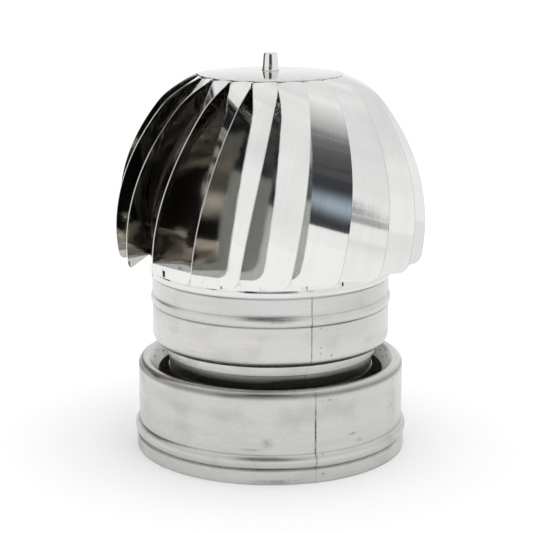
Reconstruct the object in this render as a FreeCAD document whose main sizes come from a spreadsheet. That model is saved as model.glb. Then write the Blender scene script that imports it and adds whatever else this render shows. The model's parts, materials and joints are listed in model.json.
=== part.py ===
import FreeCAD, Part
import math
import os
from types import SimpleNamespace

import Sketcher

# Rotating chimney cowl: a fixed sheet base and neck, and a louvred head that turns on a spindle.
# Millimetres, +Z up along the spindle, z = 0 at the lower rim of the base, front of the cowl at -Y.

# Driving dimensions
DIMENSIONS = {
    # sheet
    "shell_gauge": 0.8,
    "blade_gauge": 0.6,
    "fit_gap": 0.05,
    # flue liner, which all the other radii follow
    "liner_radius": 100.5,
    "liner_low": 30.0,
    "liner_high": 81.0,
    "socket_depth": 28.0,
    "socket_expansion": 0.6,
    # base casing
    "casing_gap": 29.5,
    "lip_rise": 2.3,
    "lip_height": 12.6,
    "lip_crease": 1.4,
    "casing_bead_height": 14.0,
    "casing_bead_rise": 3.9,
    "ridge_height": 88.6,
    "ridge_bend": 6.0,
    "flange_angle": 48.0,
    "hole_clearance": 10.0,
    # spacers between liner and casing
    "spacer_count": 4,
    "spacer_width": 20.0,
    "spacer_gauge": 1.5,
    "spacer_leg": 16.0,
    "spacer_low": 38.0,
    # neck
    "spigot_low": 62.0,
    "band_low": 94.0,
    "band_rise": 2.7,
    "band_high": 105.0,
    "band_step": 1.5,
    "neck_rise": 12.4,
    "neck_bend": 10.0,
    "neck_bead_low": 145.0,
    "neck_bead_height": 10.0,
    "neck_bead_rise": 1.6,
    "neck_high": 193.0,
    # bearing bridge and housing
    "bridge_high": 164.0,
    "bridge_gauge": 3.0,
    "bridge_width": 48.0,
    "bridge_leg": 26.0,
    "housing_low": 118.0,
    "housing_high": 198.0,
    "housing_wall": 3.0,
    "housing_shoulder": 2.0,
    "bearing_outer_radius": 15.0,
    "bearing_width": 9.0,
    "inner_ring_radius": 8.0,
    "race_gap": 4.5,
    "shield_gauge": 0.8,
    "shield_gap": 0.3,
    "circlip_gauge": 1.2,
    "circlip_depth": 0.9,
    "circlip_reach": 2.6,
    "circlip_angle": 320.0,
    "housing_lip": 2.0,
    # spindle
    "shaft_radius": 5.0,
    "collar_radius": 7.4,
    "collar_height": 9.0,
    "shaft_tail": 3.0,
    "thread_above_disc": 9.0,
    # lower ring of the head
    "ring_clearance": 1.0,
    "ring_low": 173.3,
    "ring_height": 19.2,
    "ring_band_height": 6.7,
    "ring_band_rise": 0.8,
    # louvre blades, section across the chord
    "blade_count": 20,
    "phase_angle": 5.8,
    "foot_clearance": 0.3,
    "foot_gap": 3.0,
    "rim_rise": 172.2,
    "lean_angle": 16.7,
    "lower_curve": 224.1,
    "lower_angle": 37.8,
    "tip_overhang": 1.4,
    "tip_place_angle": 53.4,
    "tip_bend_angle": 76.5,
    "trim_angle": 3.5,
    "tab_length": 8.0,
    "tab_width": 10.0,
    # louvre blades, outline seen square to the chord
    "widest_rise": 69.5,
    "widest_reach": 97.4,
    "edge_lower_curve": 270.0,
    "edge_lower_angle": 14.0,
    "corner_radius": 12.0,
    "edge_upper_curve": 199.0,
    "edge_upper_angle": 23.1,
    "edge_tip_curve": 45.0,
    "tip_width": 16.4,
    "inner_edge_rise": 8.0,
    "trim_margin": 4.0,
    # crowned disc and its fastenings
    "disc_inset": 47.9,
    "disc_rise": 3.0,
    "disc_flat_radius": 20.0,
    "washer_gauge": 2.0,
    "nut_flats": 17.0,
    "nut_height": 8.0,
    "cap_foot_radius": 8.5,
    "cap_foot_height": 1.4,
    "cap_base_radius": 7.8,
    "cap_top_radius": 6.6,
    "cap_height": 17.0,
    "cap_edge": 1.6,
}

doc = FreeCAD.newDocument("ChimneyCowl")
sheet = doc.addObject("Spreadsheet::Sheet", "Sizes")
for row, (alias, number) in enumerate(DIMENSIONS.items(), start=1):
    sheet.set("A%d" % row, alias)
    sheet.set("B%d" % row, str(number))
    sheet.setAlias("B%d" % row, alias)
doc.recompute()


class Size:
    """A number together with the sheet expression that gives it."""

    def __init__(self, value, text):
        self.value = value
        self.text = text

    def __add__(self, other):
        other = as_size(other)
        return Size(self.value + other.value, "(%s + %s)" % (self.text, other.text))

    def __sub__(self, other):
        other = as_size(other)
        return Size(self.value - other.value, "(%s - %s)" % (self.text, other.text))

    def __mul__(self, other):
        other = as_size(other)
        return Size(self.value * other.value, "(%s * %s)" % (self.text, other.text))

    def __truediv__(self, other):
        other = as_size(other)
        return Size(self.value / other.value, "(%s / %s)" % (self.text, other.text))

    def __neg__(self):
        return Size(-self.value, "(0 - %s)" % self.text)

    def __radd__(self, other):
        return as_size(other) + self

    def __rsub__(self, other):
        return as_size(other) - self

    def __rmul__(self, other):
        return as_size(other) * self

    def __rtruediv__(self, other):
        return as_size(other) / self


def as_size(number):
    if isinstance(number, Size):
        return number
    return Size(float(number), "(%r)" % float(number))


def sine(angle):
    return Size(math.sin(math.radians(angle.value)), "sin(%s)" % angle.text)


def cosine(angle):
    return Size(math.cos(math.radians(angle.value)), "cos(%s)" % angle.text)


def tangent(angle):
    return Size(math.tan(math.radians(angle.value)), "tan(%s)" % angle.text)


def root(square):
    return Size(math.sqrt(square.value), "sqrt(%s)" % square.text)


def arc_radius(half_chord, rise):
    """Radius of an arc that stands `rise` above its chord."""
    return (half_chord * half_chord + rise * rise) / (2 * rise)


size = SimpleNamespace(**{alias: Size(float(sheet.get(alias)), "Sizes." + alias) for alias in DIMENSIONS})

# Radii that follow the liner's, from the base up
size.casing_radius = size.liner_radius + size.casing_gap
size.lip_radius = size.casing_radius + size.lip_rise
size.hole_radius = size.liner_radius + size.hole_clearance
size.band_radius = size.liner_radius + size.band_rise
size.neck_radius = size.band_radius + size.neck_rise
size.ring_radius = size.neck_radius + size.ring_clearance + size.shell_gauge
size.disc_radius = size.ring_radius - size.disc_inset
size.ring_high = size.ring_low + size.ring_height
size.rim_height = size.ring_high + size.rim_rise


# Sketches and features

def corner(x, y, bend=None, turn=1):
    """A corner of an outline; `bend` is the radius of an arc to the next corner, turn +1 is anticlockwise."""
    return SimpleNamespace(x=as_size(x), y=as_size(y), bend=bend, turn=turn)


def arc_between(start, end, radius, turn):
    """The shorter arc from start to end, as the sketch geometry and its start and end positions."""
    half = (end - start) * 0.5
    reach = math.sqrt(max(radius * radius - half.Length ** 2, 0.0))
    side = FreeCAD.Vector(-half.y, half.x, 0).normalize()
    centre = start + half + side * (reach * turn)
    angle_start = math.atan2(start.y - centre.y, start.x - centre.x)
    angle_end = math.atan2(end.y - centre.y, end.x - centre.x)
    circle = Part.Circle(centre, FreeCAD.Vector(0, 0, 1), radius)
    if turn > 0:
        return Part.ArcOfCircle(circle, angle_start, angle_end), 1, 2
    return Part.ArcOfCircle(circle, angle_end, angle_start), 2, 1


def bind(sketch, constraint, amount):
    index = sketch.addConstraint(constraint)
    sketch.setExpression("Constraints[%d]" % index, amount.text)


def draw_loop(sketch, corners):
    """A closed outline whose corners and bends follow the sheet."""
    points = [FreeCAD.Vector(item.x.value, item.y.value, 0) for item in corners]
    edges = []
    for index, item in enumerate(corners):
        start = points[index]
        end = points[(index + 1) % len(points)]
        if item.bend is None:
            geometry, first, last = Part.LineSegment(start, end), 1, 2
        else:
            geometry, first, last = arc_between(start, end, item.bend.value, item.turn)
        edges.append((sketch.addGeometry(geometry, False), first, last))
    for index, item in enumerate(corners):
        edge, first, _ = edges[index]
        before, _, last = edges[index - 1]
        sketch.addConstraint(Sketcher.Constraint("Coincident", before, last, edge, first))
        bind(sketch, Sketcher.Constraint("DistanceX", -1, 1, edge, first, item.x.value), item.x)
        bind(sketch, Sketcher.Constraint("DistanceY", -1, 1, edge, first, item.y.value), item.y)
        if item.bend is not None:
            bind(sketch, Sketcher.Constraint("Radius", edge, item.bend.value), item.bend)


def draw_circle(sketch, radius):
    circle = Part.Circle(FreeCAD.Vector(0, 0, 0), FreeCAD.Vector(0, 0, 1), radius.value)
    index = sketch.addGeometry(circle, False)
    sketch.addConstraint(Sketcher.Constraint("Coincident", index, 3, -1, 1))
    bind(sketch, Sketcher.Constraint("Radius", index, radius.value), radius)


def new_body(label):
    body = doc.addObject("PartDesign::Body", label)
    body.Label = label
    body.AllowCompound = True
    return body


def new_sketch(body, name, role):
    sketch = body.newObject("Sketcher::SketchObject", name)
    plane = [item for item in body.Origin.OriginFeatures if item.Role == role][0]
    sketch.AttachmentSupport = (plane, [""])
    sketch.MapMode = "FlatFace"
    return sketch


def revolve(body, corners, sweep=None):
    """A turned or spun piece: the half section in X and Z, swept round the spindle axis."""
    sketch = new_sketch(body, "HalfSection", "XZ_Plane")
    draw_loop(sketch, corners)
    feature = body.newObject("PartDesign::Revolution", "Turned")
    feature.Profile = sketch
    feature.ReferenceAxis = (sketch, ["V_Axis"])
    feature.Angle = 360.0
    if sweep is not None:
        feature.setExpression("Angle", sweep.text)
    sketch.Visibility = False
    return feature


def pad(body, sketch, length, symmetric=False):
    feature = body.newObject("PartDesign::Pad", "Pad")
    feature.Profile = sketch
    feature.SideType = "Symmetric" if symmetric else "One side"
    feature.setExpression("Length", length.text)
    return feature


def pocket_through(body, sketch):
    feature = body.newObject("PartDesign::Pocket", "Trim")
    feature.Profile = sketch
    feature.SideType = "Symmetric"
    feature.Type = "ThroughAll"
    return feature


def trim_outside(body, radius, reach):
    """Cuts away all that lies further from the axis than `radius`."""
    sketch = new_sketch(body, "TrimOutside", "XY_Plane")
    draw_circle(sketch, radius)
    draw_circle(sketch, reach)
    return pocket_through(body, sketch)


def trim_inside(body, radius):
    """Cuts away all that lies nearer to the axis than `radius`."""
    sketch = new_sketch(body, "TrimInside", "XY_Plane")
    draw_circle(sketch, radius)
    return pocket_through(body, sketch)


def lift(body, height):
    body.setExpression("Placement.Base.z", height.text)


# Base casing: one spun sheet with a lip, a bead, a rounded ridge and a flange dished down to the hole

def make_base_shell():
    body = new_body("base_shell")
    gauge = size.shell_gauge
    wall = size.casing_radius
    bead_low = size.lip_height + size.lip_crease
    bead_high = bead_low + size.casing_bead_height
    bead_bend = arc_radius(size.casing_bead_height / 2, size.casing_bead_rise)
    ridge_centre_r = wall - size.ridge_bend
    ridge_centre_z = size.ridge_height - size.ridge_bend
    inner_bend = size.ridge_bend - gauge
    normal_r = sine(size.flange_angle)
    normal_z = cosine(size.flange_angle)
    flange_r = ridge_centre_r - size.ridge_bend * normal_r
    flange_z = ridge_centre_z + size.ridge_bend * normal_z
    hole_z = flange_z - (flange_r - size.hole_radius) * tangent(size.flange_angle)
    revolve(body, [
        corner(size.lip_radius, 0),
        corner(size.lip_radius, size.lip_height),
        corner(wall, bead_low, bead_bend, 1),
        corner(wall, bead_high),
        corner(wall, ridge_centre_z, size.ridge_bend, 1),
        corner(flange_r, flange_z),
        corner(size.hole_radius, hole_z),
        corner(size.hole_radius + gauge * normal_r, hole_z - gauge * normal_z),
        corner(flange_r + gauge * normal_r, flange_z - gauge * normal_z, inner_bend, -1),
        corner(wall - gauge, ridge_centre_z),
        corner(wall - gauge, bead_high, bead_bend, -1),
        corner(wall - gauge, bead_low),
        corner(size.lip_radius - gauge, size.lip_height),
        corner(size.lip_radius - gauge, 0),
    ])
    return body


# Flue liner: the inner tube, expanded below into a socket for the flue and open above for the neck's spigot

def make_flue_liner():
    body = new_body("flue_liner")
    inner = size.liner_radius - size.shell_gauge
    socket_high = size.liner_low + size.socket_depth
    step = size.socket_expansion * 2
    revolve(body, [
        corner(size.liner_radius + size.socket_expansion, size.liner_low),
        corner(size.liner_radius + size.socket_expansion, socket_high),
        corner(size.liner_radius, socket_high + step),
        corner(size.liner_radius, size.liner_high),
        corner(inner, size.liner_high),
        corner(inner, socket_high + step),
        corner(inner + size.socket_expansion, socket_high),
        corner(inner + size.socket_expansion, size.liner_low),
    ])
    return body


# Spacers: bent strips between liner and casing, trimmed to both walls

def make_spacer_brackets():
    body = new_body("spacer_brackets")
    gauge = size.spacer_gauge
    inner = size.liner_radius + size.socket_expansion + size.fit_gap
    outer = size.casing_radius - size.shell_gauge - size.fit_gap
    start = inner - size.spacer_width / 4
    stop = outer + size.spacer_width / 4
    bottom = size.spacer_low
    top = bottom + size.spacer_leg
    sketch = new_sketch(body, "BracketSection", "XZ_Plane")
    draw_loop(sketch, [
        corner(start, bottom),
        corner(stop, bottom),
        corner(stop, top),
        corner(outer - gauge * 2, top),
        corner(outer - gauge * 2, bottom + gauge),
        corner(inner + gauge, bottom + gauge),
        corner(inner + gauge, top),
        corner(start, top),
    ])
    strip = pad(body, sketch, size.spacer_width, symmetric=True)
    pattern = body.newObject("PartDesign::PolarPattern", "SpacersRound")
    pattern.Originals = [strip]
    pattern.Axis = (sketch, ["V_Axis"])
    pattern.Angle = 360.0
    pattern.setExpression("Occurrences", size.spacer_count.text)
    body.Tip = pattern
    trim_outside(body, outer, stop + size.spacer_width)
    trim_inside(body, inner)
    return body


# Neck: spigot, band, rounded shoulder and a beaded cylinder that ends inside the head's lower ring

def make_neck_collar():
    body = new_body("neck_collar")
    gauge = size.shell_gauge
    spigot = size.liner_radius - gauge - size.fit_gap
    bend_r = size.neck_radius - size.neck_bend
    bend_z = size.band_high + size.neck_bend
    bead_high = size.neck_bead_low + size.neck_bead_height
    bead_bend = arc_radius(size.neck_bead_height / 2, size.neck_bead_rise)
    revolve(body, [
        corner(spigot, size.spigot_low),
        corner(spigot, size.band_low),
        corner(size.band_radius, size.band_low + size.band_step),
        corner(size.band_radius, size.band_high),
        corner(bend_r, size.band_high, size.neck_bend, 1),
        corner(size.neck_radius, bend_z),
        corner(size.neck_radius, size.neck_bead_low, bead_bend, 1),
        corner(size.neck_radius, bead_high),
        corner(size.neck_radius, size.neck_high),
        corner(size.neck_radius - gauge, size.neck_high),
        corner(size.neck_radius - gauge, bead_high, bead_bend, -1),
        corner(size.neck_radius - gauge, size.neck_bead_low),
        corner(size.neck_radius - gauge, bend_z, size.neck_bend - gauge, -1),
        corner(bend_r, size.band_high + gauge),
        corner(size.band_radius - gauge, size.band_high + gauge),
        corner(size.band_radius - gauge, size.band_low + size.band_step + gauge),
        corner(spigot - gauge, size.band_low + gauge),
        corner(spigot - gauge, size.spigot_low),
    ])
    return body


# Bearing bridge: a strap across the neck, its legs turned down and welded to the neck wall

def make_bearing_bridge():
    body = new_body("bearing_bridge")
    gauge = size.bridge_gauge
    seat = size.neck_radius - size.shell_gauge - size.fit_gap
    reach = seat + gauge
    bottom = size.bridge_high - size.bridge_leg
    leg = seat - gauge * 2
    sketch = new_sketch(body, "StrapSection", "XZ_Plane")
    draw_loop(sketch, [
        corner(-reach, bottom),
        corner(-leg, bottom),
        corner(-leg, size.bridge_high - gauge),
        corner(leg, size.bridge_high - gauge),
        corner(leg, bottom),
        corner(reach, bottom),
        corner(reach, size.bridge_high),
        corner(-reach, size.bridge_high),
    ])
    pad(body, sketch, size.bridge_width, symmetric=True)
    trim_outside(body, seat, reach + size.bridge_width)
    trim_inside(body, size.bearing_outer_radius + size.housing_wall + size.fit_gap)
    return body


# Bearing housing: a turned tube with a seat at each end and a groove for its circlip

def lower_bearing_low():
    return size.housing_low + size.housing_lip + size.circlip_gauge


def upper_bearing_low():
    return size.housing_high - size.bearing_width


def make_bearing_housing():
    body = new_body("bearing_housing")
    outer = size.bearing_outer_radius + size.housing_wall
    seat = size.bearing_outer_radius + size.fit_gap
    shoulder = seat - size.housing_shoulder
    groove = seat + size.circlip_depth
    groove_low = size.housing_low + size.housing_lip
    revolve(body, [
        corner(outer, size.housing_low),
        corner(outer, size.housing_high),
        corner(seat, size.housing_high),
        corner(seat, upper_bearing_low()),
        corner(shoulder, upper_bearing_low()),
        corner(shoulder, lower_bearing_low() + size.bearing_width),
        corner(seat, lower_bearing_low() + size.bearing_width),
        corner(seat, lower_bearing_low()),
        corner(groove, lower_bearing_low()),
        corner(groove, groove_low),
        corner(seat, groove_low),
        corner(seat, size.housing_low),
    ])
    return body


# Ball bearings: a shielded outer ring and an inner ring, each made at its own height

def make_outer_ring(label, height):
    body = new_body(label)
    shield = size.inner_ring_radius + size.shield_gap
    race = size.inner_ring_radius + size.race_gap
    width = size.bearing_width
    revolve(body, [
        corner(size.bearing_outer_radius, 0),
        corner(size.bearing_outer_radius, width),
        corner(shield, width),
        corner(shield, width - size.shield_gauge),
        corner(race, width - size.shield_gauge),
        corner(race, size.shield_gauge),
        corner(shield, size.shield_gauge),
        corner(shield, 0),
    ])
    lift(body, height)
    return body


def make_inner_ring(label, height):
    body = new_body(label)
    bore = size.shaft_radius + size.fit_gap
    revolve(body, [
        corner(size.inner_ring_radius, 0),
        corner(size.inner_ring_radius, size.bearing_width),
        corner(bore, size.bearing_width),
        corner(bore, 0),
    ])
    lift(body, height)
    return body


# Circlips: open spring rings, one in the housing's groove and one in the spindle's

def make_circlip(label, inner, outer, height):
    body = new_body(label)
    revolve(body, [
        corner(outer, 0),
        corner(outer, size.circlip_gauge),
        corner(inner, size.circlip_gauge),
        corner(inner, 0),
    ], size.circlip_angle)
    lift(body, height)
    return body


def make_housing_circlip():
    outer = size.bearing_outer_radius + size.circlip_depth
    return make_circlip("housing_circlip", outer - size.circlip_reach, outer,
                        size.housing_low + size.housing_lip)


def make_shaft_circlip():
    inner = size.shaft_radius - size.circlip_depth + size.fit_gap
    return make_circlip("shaft_circlip", inner, inner + size.circlip_reach,
                        lower_bearing_low() - size.circlip_gauge)


# Spindle: turned bar with a collar that stands on the upper bearing's inner ring

def crown_height():
    """Height of the flat middle of the disc, on top."""
    return size.rim_height + size.disc_rise + size.shell_gauge


def make_rotor_shaft():
    body = new_body("rotor_shaft")
    groove_high = lower_bearing_low()
    groove_low = groove_high - size.circlip_gauge
    groove = size.shaft_radius - size.circlip_depth
    collar_high = size.housing_high + size.collar_height
    bottom = groove_low - size.shaft_tail
    top = crown_height() + size.thread_above_disc
    revolve(body, [
        corner(0, bottom),
        corner(size.shaft_radius, bottom),
        corner(size.shaft_radius, groove_low),
        corner(groove, groove_low),
        corner(groove, groove_high),
        corner(size.shaft_radius, groove_high),
        corner(size.shaft_radius, size.housing_high),
        corner(size.collar_radius, size.housing_high),
        corner(size.collar_radius, collar_high),
        corner(size.shaft_radius, collar_high),
        corner(size.shaft_radius, top),
        corner(0, top),
    ])
    return body


# Lower ring: the band that the blade feet lie on, with a rounded lower edge

def make_lower_ring():
    body = new_body("lower_ring")
    band_high = size.ring_low + size.ring_band_height
    inner = size.ring_radius - size.shell_gauge
    revolve(body, [
        corner(size.ring_radius, size.ring_low, arc_radius(size.ring_band_height / 2, size.ring_band_rise), 1),
        corner(size.ring_radius, band_high),
        corner(size.ring_radius, size.ring_high),
        corner(inner, size.ring_high),
        corner(inner, size.ring_low),
    ])
    return body


# Louvre blade: a strip of sheet bent along parallel lines that fall towards its leading edge. Below, its foot
# is tangent to the lower ring and its leading edge stands out; above, its end lies flush with the disc's rim.

def blade_tip():
    """The top corner of the leading edge, over the disc's rim: along the chord, out from the axis and up."""
    radius = size.disc_radius + size.tip_overhang
    tip_x = radius * sine(size.tip_place_angle)
    tip_r = radius * cosine(size.tip_place_angle)
    upper_x = size.widest_reach - size.edge_upper_curve * (1 - cosine(size.edge_upper_angle))
    upper_z = size.ring_high + size.widest_rise + size.edge_upper_curve * sine(size.edge_upper_angle)
    turn_cos = cosine(size.edge_upper_angle) - (upper_x - tip_x) / size.edge_tip_curve
    turn_sin = root(1 - turn_cos * turn_cos)
    tip_z = upper_z + size.edge_tip_curve * (turn_sin - sine(size.edge_upper_angle))
    return SimpleNamespace(upper_x=upper_x, upper_z=upper_z, x=tip_x, r=tip_r, z=tip_z)


def blade_outline():
    """Seen square to the chord: X along the chord from the foot's middle, Z up."""
    pitch_half = 180 / size.blade_count
    foot_low = size.ring_low + size.ring_band_height + size.foot_clearance
    foot_half = size.ring_radius * tangent(pitch_half) - size.foot_gap
    widest_z = size.ring_high + size.widest_rise
    lower_x = size.widest_reach - size.edge_lower_curve * (1 - cosine(size.edge_lower_angle))
    lower_z = widest_z - size.edge_lower_curve * sine(size.edge_lower_angle)
    corner_x = lower_x - size.corner_radius * cosine(size.edge_lower_angle)
    corner_z = lower_z - size.corner_radius * (1 - sine(size.edge_lower_angle))
    tip = blade_tip()
    return [
        corner(-foot_half, foot_low),
        corner(foot_half, foot_low),
        corner(foot_half, corner_z),
        corner(corner_x, corner_z, size.corner_radius, 1),
        corner(lower_x, lower_z, size.edge_lower_curve, 1),
        corner(size.widest_reach, widest_z, size.edge_upper_curve, 1),
        corner(tip.upper_x, tip.upper_z, size.edge_tip_curve, 1),
        corner(tip.x, tip.z),
        corner(tip.x, size.rim_height),
        corner(tip.x - size.tip_width, size.rim_height),
        corner(-foot_half, size.ring_high + size.inner_edge_rise),
    ]


def blade_bend():
    """Where the section's lower curve ends, and the radius of the upper one, which ends at the top corner."""
    tip = blade_tip()
    bend_r = size.ring_radius + size.blade_gauge - size.lower_curve * (1 - cosine(size.lower_angle))
    upper_curve = (bend_r - tip.r) / (cosine(size.lower_angle) - cosine(size.tip_bend_angle))
    tip_place = size.rim_height + tip.x * tangent(size.lean_angle)
    bend_z = tip_place - upper_curve * (sine(size.tip_bend_angle) - sine(size.lower_angle))
    return SimpleNamespace(r=bend_r, z=bend_z, upper_curve=upper_curve)


def blade_section():
    """The bent sheet in the middle of the foot: X is minus the distance from the axis, Y is height."""
    gauge = size.blade_gauge
    outer = size.ring_radius + gauge
    bend = blade_bend()
    bottom = size.ring_low
    lower_cos = cosine(size.lower_angle)
    lower_sin = sine(size.lower_angle)
    start = bend.z - size.lower_curve * lower_sin
    end_cos = cosine(size.tip_bend_angle + size.trim_angle)
    end_sin = sine(size.tip_bend_angle + size.trim_angle)
    end_r = bend.r - bend.upper_curve * (lower_cos - end_cos)
    end_z = bend.z + bend.upper_curve * (end_sin - lower_sin)
    return [
        corner(-outer, bottom),
        corner(-outer, start, size.lower_curve, -1),
        corner(-bend.r, bend.z, bend.upper_curve, -1),
        corner(-end_r, end_z),
        corner(-(end_r - gauge * end_cos), end_z - gauge * end_sin, bend.upper_curve - gauge, 1),
        corner(-(bend.r - gauge * lower_cos), bend.z - gauge * lower_sin, size.lower_curve - gauge, 1),
        corner(-size.ring_radius, start),
        corner(-size.ring_radius, bottom),
    ]


def rim_point(x):
    """The blade's outer face at the height of the disc's rim, at one place along the chord."""
    bend = blade_bend()
    place = size.rim_height + x * tangent(size.lean_angle)
    turn_sin = (place - bend.z) / bend.upper_curve + sine(size.lower_angle)
    turn_cos = root(1 - turn_sin * turn_sin)
    return x, -(bend.r - bend.upper_curve * (cosine(size.lower_angle) - turn_cos))


def make_blade(number):
    body = new_body("blade_%02d" % number)
    blank = new_sketch(body, "Outline", "XZ_Plane")
    draw_loop(blank, blade_outline())
    depth = size.ring_radius + size.blade_gauge + size.trim_margin
    pad(body, blank, depth)
    bend = new_sketch(body, "Section", "YZ_Plane")
    high = size.rim_height + size.widest_reach
    low = size.ring_low - size.trim_margin
    draw_loop(bend, [
        corner(-depth - size.trim_margin, low),
        corner(size.trim_margin, low),
        corner(size.trim_margin, high),
        corner(-depth - size.trim_margin, high),
    ])
    draw_loop(bend, blade_section())
    trim = pocket_through(body, bend)
    trim.UseCustomVector = True
    trim.Direction = FreeCAD.Vector(1, 0, -math.tan(math.radians(size.lean_angle.value)))
    trim.setExpression("Direction.z", (-tangent(size.lean_angle)).text)
    tab = new_sketch(body, "Tab", "XY_Plane")
    tab.setExpression("AttachmentOffset.Base.z", (size.rim_height - size.blade_gauge).text)
    start = blade_tip().x - size.tip_width
    first = rim_point(start)
    second = rim_point(start + size.tab_width)
    inward = 1 - size.tab_length / size.disc_radius
    draw_loop(tab, [
        corner(*first),
        corner(*second),
        corner(second[0] * inward, second[1] * inward),
        corner(first[0] * inward, first[1] * inward),
    ])
    pad(body, tab, size.blade_gauge)
    turn = size.phase_angle + 360 * (number - 1) / size.blade_count
    body.Placement.Rotation.Axis = FreeCAD.Vector(0, 0, 1)
    body.setExpression("Placement.Rotation.Angle", turn.text)
    return body


# Crowned disc: flat in the middle, then a long curve down to the rim

def make_top_disc():
    body = new_body("top_disc")
    gauge = size.shell_gauge
    hole = size.shaft_radius + size.fit_gap
    low = size.rim_height
    crown = low + size.disc_rise
    bend = arc_radius(size.disc_radius - size.disc_flat_radius, size.disc_rise)
    revolve(body, [
        corner(hole, crown),
        corner(size.disc_flat_radius, crown, bend, -1),
        corner(size.disc_radius, low),
        corner(size.disc_radius, low + gauge, bend, 1),
        corner(size.disc_flat_radius, crown + gauge),
        corner(hole, crown + gauge),
    ])
    return body


# Washer and nut that clamp the disc from below

def make_backing_washer():
    body = new_body("backing_washer")
    hole = size.shaft_radius + size.fit_gap
    revolve(body, [
        corner(hole, 0),
        corner(size.disc_flat_radius, 0),
        corner(size.disc_flat_radius, size.washer_gauge),
        corner(hole, size.washer_gauge),
    ])
    lift(body, size.rim_height + size.disc_rise - size.washer_gauge)
    return body


def make_clamp_nut():
    body = new_body("clamp_nut")
    reach = size.nut_flats / math.sqrt(3)
    sketch = new_sketch(body, "Hexagon", "XY_Plane")
    angles = [math.radians(60 * step) for step in range(6)]
    draw_loop(sketch, [corner(reach * math.cos(angle), reach * math.sin(angle)) for angle in angles])
    draw_circle(sketch, size.shaft_radius + size.fit_gap)
    pad(body, sketch, size.nut_height)
    lift(body, size.rim_height + size.disc_rise - size.washer_gauge - size.nut_height)
    return body


# Cap nut: turned, with a flared foot, a slight taper, a broken top edge and a blind bore

def make_cap_nut():
    body = new_body("cap_nut")
    bore = size.shaft_radius + size.fit_gap
    depth = size.thread_above_disc + size.fit_gap
    revolve(body, [
        corner(bore, 0),
        corner(size.cap_foot_radius, 0),
        corner(size.cap_base_radius, size.cap_foot_height),
        corner(size.cap_top_radius, size.cap_height - size.cap_edge),
        corner(size.cap_top_radius - size.cap_edge, size.cap_height),
        corner(0, size.cap_height),
        corner(0, depth),
        corner(bore, depth),
    ])
    lift(body, crown_height())
    return body


blade_total = int(size.blade_count.value)
pieces = [
    make_base_shell(),
    make_flue_liner(),
    make_spacer_brackets(),
    make_neck_collar(),
    make_bearing_bridge(),
    make_bearing_housing(),
    make_outer_ring("upper_outer_ring", upper_bearing_low()),
    make_outer_ring("lower_outer_ring", lower_bearing_low()),
    make_housing_circlip(),
    make_rotor_shaft(),
    make_inner_ring("upper_inner_ring", upper_bearing_low()),
    make_inner_ring("lower_inner_ring", lower_bearing_low()),
    make_shaft_circlip(),
    make_lower_ring(),
    make_top_disc(),
    make_backing_washer(),
    make_clamp_nut(),
    make_cap_nut(),
]
pieces += [make_blade(number) for number in range(1, blade_total + 1)]
doc.recompute()

# Every object has to be sound before anything is written
for item in doc.Objects:
    if "Invalid" in item.State or "Error" in item.State:
        raise RuntimeError("%s failed: %s" % (item.Label, item.State))
for piece in pieces:
    if piece.Shape.isNull() or not piece.Shape.isValid():
        raise RuntimeError("%s has no sound shape" % piece.Label)

os.makedirs("parts", exist_ok=True)
for piece in pieces:
    piece.Shape.exportStep("parts/%s.step" % piece.Label)
    print(piece.Label, len(piece.Shape.Solids), round(piece.Shape.Volume, 1))
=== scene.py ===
import json
import math

import bmesh
import bpy
import numpy as np
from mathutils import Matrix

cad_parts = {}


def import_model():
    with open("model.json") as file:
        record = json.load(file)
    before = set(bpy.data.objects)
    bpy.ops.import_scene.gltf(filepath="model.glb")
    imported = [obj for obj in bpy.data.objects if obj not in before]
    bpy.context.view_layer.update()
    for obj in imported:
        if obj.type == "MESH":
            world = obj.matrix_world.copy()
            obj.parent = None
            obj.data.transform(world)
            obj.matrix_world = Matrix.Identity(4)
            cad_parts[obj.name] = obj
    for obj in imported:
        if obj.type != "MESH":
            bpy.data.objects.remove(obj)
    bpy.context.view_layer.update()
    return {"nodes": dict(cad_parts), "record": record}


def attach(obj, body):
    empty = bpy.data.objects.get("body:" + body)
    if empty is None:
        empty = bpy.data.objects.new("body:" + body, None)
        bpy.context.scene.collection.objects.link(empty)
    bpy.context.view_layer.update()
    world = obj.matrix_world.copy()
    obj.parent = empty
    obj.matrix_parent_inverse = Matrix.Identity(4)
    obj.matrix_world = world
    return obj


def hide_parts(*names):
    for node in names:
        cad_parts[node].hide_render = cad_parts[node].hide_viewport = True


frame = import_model()
MM = 0.001


# Base casing
# One spun sheet of stainless steel, rolled to a cylinder and lap-seamed at the front, with a lip and a
# bead at its lower edge, a rounded ridge on top and a flange dished down to the hole for the neck.

class Shade:
    """A socket of a finish; sums and products of shades and numbers become Math nodes."""

    def __init__(self, finish, socket):
        self.finish = finish
        self.socket = socket

    def maths(self, operation, left, right):
        """One Math node of two shades or numbers."""
        return self.finish.node("ShaderNodeMath", {"operation": operation}, {0: left, 1: right})

    def __add__(self, other):
        return self.maths("ADD", self, other)

    def __sub__(self, other):
        return self.maths("SUBTRACT", self, other)

    def __mul__(self, other):
        return self.maths("MULTIPLY", self, other)

    def __pow__(self, power):
        return self.maths("POWER", self, power)

    def __gt__(self, limit):
        return self.maths("GREATER_THAN", self, limit)

    def __mod__(self, pitch):
        return self.maths("FLOORED_MODULO", self, pitch)

    def __radd__(self, other):
        return self.maths("ADD", other, self)

    def __rsub__(self, other):
        return self.maths("SUBTRACT", other, self)

    def __rmul__(self, other):
        return self.maths("MULTIPLY", other, self)


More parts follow.
